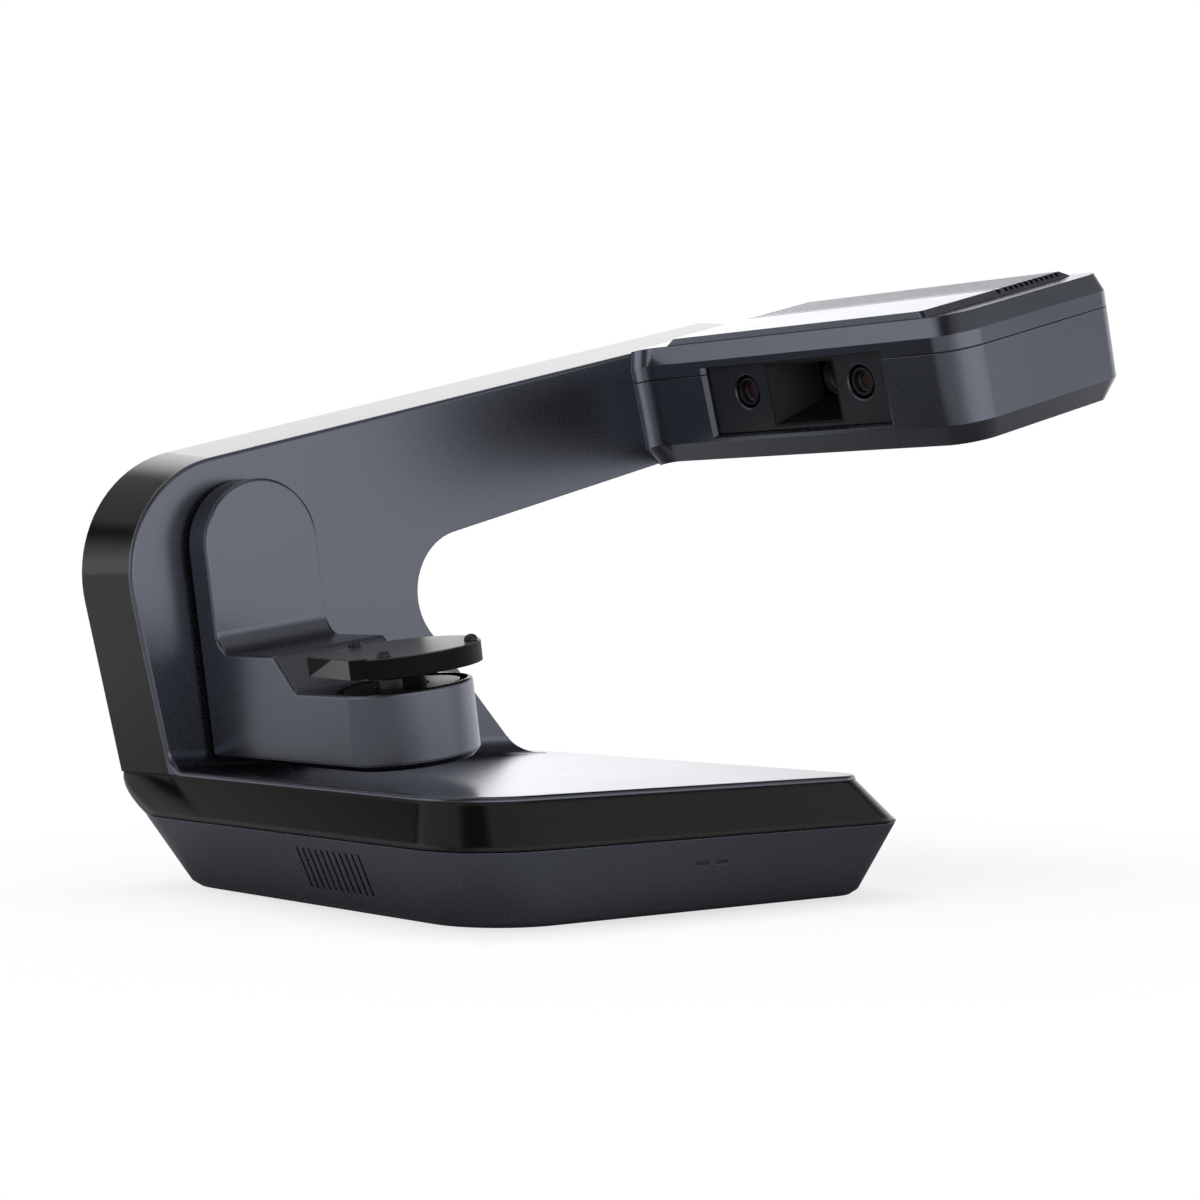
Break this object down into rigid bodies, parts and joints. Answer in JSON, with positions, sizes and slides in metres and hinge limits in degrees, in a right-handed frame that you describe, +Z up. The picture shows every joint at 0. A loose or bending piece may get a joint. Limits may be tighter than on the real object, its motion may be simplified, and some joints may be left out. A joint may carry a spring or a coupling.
{
  "type": "desktop 3d scanner",
  "caption": "Desktop structured-light scanner: wedge base, curved column and arm, camera head, and a tilting swing arm with a small turntable.",
  "frame": {"origin": "centre of the whole outline seen from above, on the desk under the feet", "axes": "+X towards the optical head, +Y towards the back, +Z up"},
  "size_m": [0.4326, 0.278, 0.2959],
  "materials": {
    "shell_grey": "fine-textured slate grey moulding",
    "shell_light": "fine-textured slate grey moulding, slightly lighter",
    "tub_dark": "fine-textured charcoal moulding",
    "gloss_black": "polished black",
    "face_black": "satin black",
    "barrel_black": "satin black with a metal look",
    "lens_coating_red": "coated lens, reddish purple",
    "lens_coating_amber": "coated lens, amber",
    "lens_clear": "clear",
    "rubber_black": "matte black",
    "board_green": "lacquered circuit board",
    "steel_plate": "zinc plated sheet",
    "steel_bright": "bright steel",
    "aluminium_part": "turned or extruded aluminium",
    "motor_body": "black painted motor can"
  },
  "bodies": {
    "base": {"base_band": "gloss_black", "base_tub": "tub_dark", "board_standoffs": "steel_bright", "bottom_plate": "steel_plate", "bottom_screws": "steel_bright", "camera_bezel": "face_black", "camera_left": "barrel_black", "camera_left_lens": "lens_coating_red", "camera_right": "barrel_black", "camera_right_lens": "lens_coating_amber", "column_band": "gloss_black", "column_front_shell": "shell_grey", "column_rear_shell": "shell_grey", "dc_inlet": "face_black", "deck_shell": "shell_light", "fan_frame": "face_black", "head_board": "board_green", "head_bolts": "steel_bright", "head_lower_shell": "shell_grey", "head_mount_plate": "steel_plate", "head_spacers": "steel_bright", "head_top_cover": "shell_light", "head_upper_shell": "shell_light", "heat_sink": "aluminium_part", "main_board": "board_green", "optics_bracket": "steel_plate", "port_panel": "tub_dark", "power_board": "board_green", "projector_barrel": "barrel_black", "projector_engine": "barrel_black", "projector_hood": "face_black", "projector_lens": "lens_clear", "rear_screws": "steel_bright", "rubber_feet": "rubber_black", "shaft_bracket": "steel_plate", "spine_foot": "steel_plate", "spine_plate": "steel_plate", "status_lights": "lens_clear", "swing_bearings": "steel_bright", "swing_belt": "rubber_black", "swing_motor": "motor_body", "switch_body": "face_black", "usb_port": "face_black"},
    "swing": {"swing_arm_shell": "shell_grey", "swing_bottom_cover": "shell_grey", "cover_screws": "steel_bright", "swing_shaft": "steel_bright", "swing_pulley": "aluminium_part", "turntable_motor": "motor_body", "turntable_belt": "rubber_black", "turntable_bearings": "steel_bright", "tray_disc": "face_black"},
    "platter": {"platter": "face_black", "platter_pins": "face_black", "platter_shaft": "steel_bright", "platter_pulley": "aluminium_part"},
    "turntable_drive": {"turntable_pinion": "aluminium_part"},
    "swing_drive": {"swing_pinion": "aluminium_part"},
    "fan": {"fan_rotor": "face_black"},
    "rocker": {"switch_rocker": "face_black"}
  },
  "joints": [
    {"name": "swing_tilt", "type": "hinge", "parent": "base", "child": "swing", "pos_m": [-0.15326, -0.0042, 0.1593], "axis": [0, 1, 0], "range_deg": [-22, 67]},
    {"name": "swing_drive_spin", "type": "hinge", "parent": "base", "child": "swing_drive", "pos_m": [-0.09956, -0.0042, 0.148], "axis": [0, 1, 0], "range_deg": [-80, 235]},
    {"name": "turntable_spin", "type": "hinge", "parent": "swing", "child": "platter", "pos_m": [-0.1446, -0.0177, 0.09993], "axis": [-0.1444, 0, 0.9895], "continuous": true},
    {"name": "turntable_drive_spin", "type": "hinge", "parent": "swing", "child": "turntable_drive", "pos_m": [-0.14243, 0.0218, 0.08509], "axis": [-0.1444, 0, 0.9895], "continuous": true},
    {"name": "fan_spin", "type": "hinge", "parent": "base", "child": "fan", "pos_m": [-0.17456, -0.0358, 0.0276], "axis": [1, 0, 0], "continuous": true},
    {"name": "switch_rock", "type": "hinge", "parent": "base", "child": "rocker", "pos_m": [-0.02756, 0.1148, 0.02], "axis": [-1, 0, 0], "range_deg": [0, 16]}
  ],
  "couplings": [
    {"joint": "swing_drive_spin", "follows": "swing_tilt", "ratio": 3.4286},
    {"joint": "turntable_drive_spin", "follows": "turntable_spin", "ratio": 3.3333}
  ]
}
